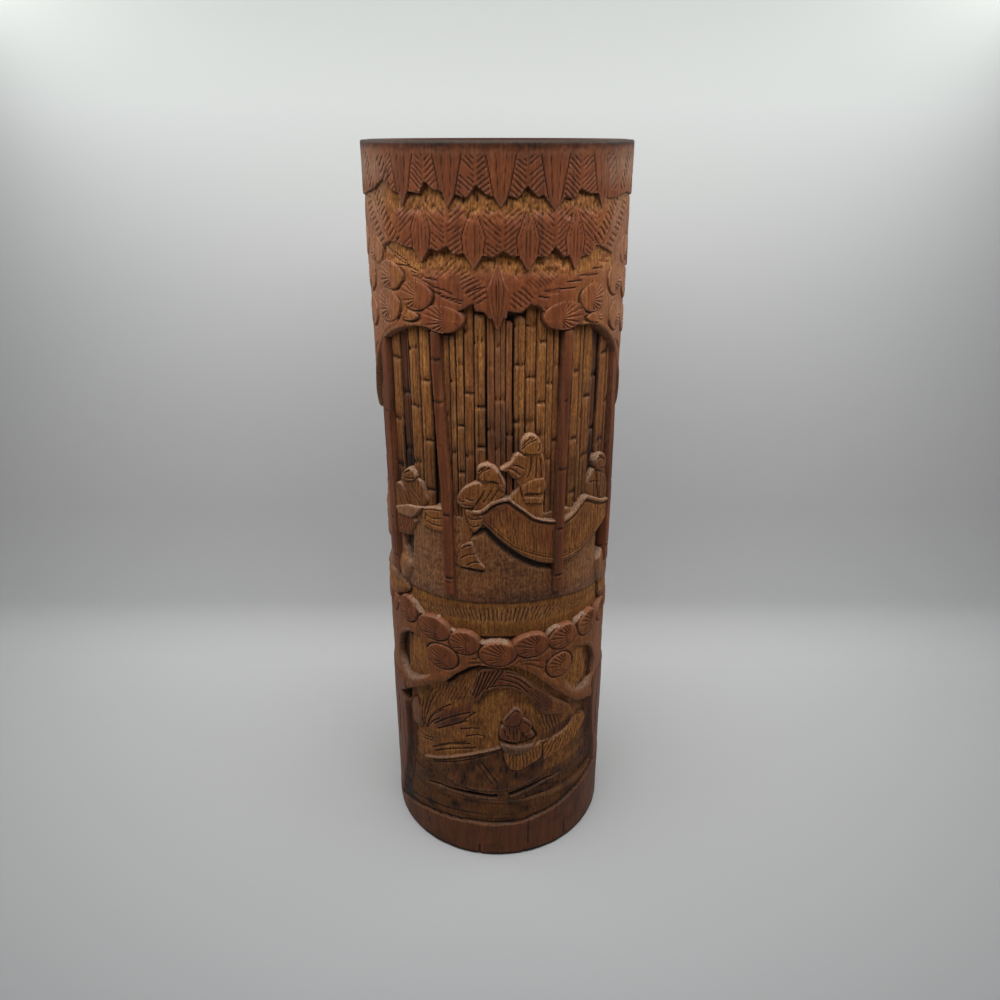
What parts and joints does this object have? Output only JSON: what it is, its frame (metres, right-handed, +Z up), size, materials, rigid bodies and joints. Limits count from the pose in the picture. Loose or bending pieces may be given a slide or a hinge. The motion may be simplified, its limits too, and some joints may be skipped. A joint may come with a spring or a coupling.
{
  "type": "carved bamboo vase",
  "caption": "Tall cylindrical vase cut from a bamboo culm, with a carved grove and river scene round its wall and a wooden floor let into its foot.",
  "frame": {"origin": "centre of the foot, on the surface that the vase stands on", "axes": "+Z up along the culm, -Y towards the pictured front, +X to the right of that view"},
  "size_m": [0.0984, 0.0984, 0.3],
  "materials": {
    "bamboo_skin": "stained and oiled bamboo skin",
    "bamboo_ground": "hand-cut bamboo fibre",
    "floor_wood": "turned softwood"
  },
  "bodies": {
    "root": {"culm": "bamboo_ground", "floor_disc": "floor_wood", "rim_leaves": "bamboo_skin", "middle_leaves": "bamboo_skin", "lower_lance": "bamboo_skin", "palm_leaves": "bamboo_skin", "canopy_arch": "bamboo_skin", "pine_boughs": "bamboo_skin", "grove_stalks": "bamboo_ground", "front_posts": "bamboo_skin", "boat": "bamboo_ground", "stone_table": "bamboo_ground", "bending_figure": "bamboo_ground", "standing_figure": "bamboo_ground", "right_figure": "bamboo_ground", "left_figure": "bamboo_ground", "swag_ledge": "bamboo_ground", "swag_boughs": "bamboo_skin", "knot_rings": "bamboo_skin", "thatched_roof": "bamboo_ground", "sampan": "bamboo_ground", "boatman": "bamboo_ground", "side_pillars": "bamboo_skin"}
  },
  "joints": []
}
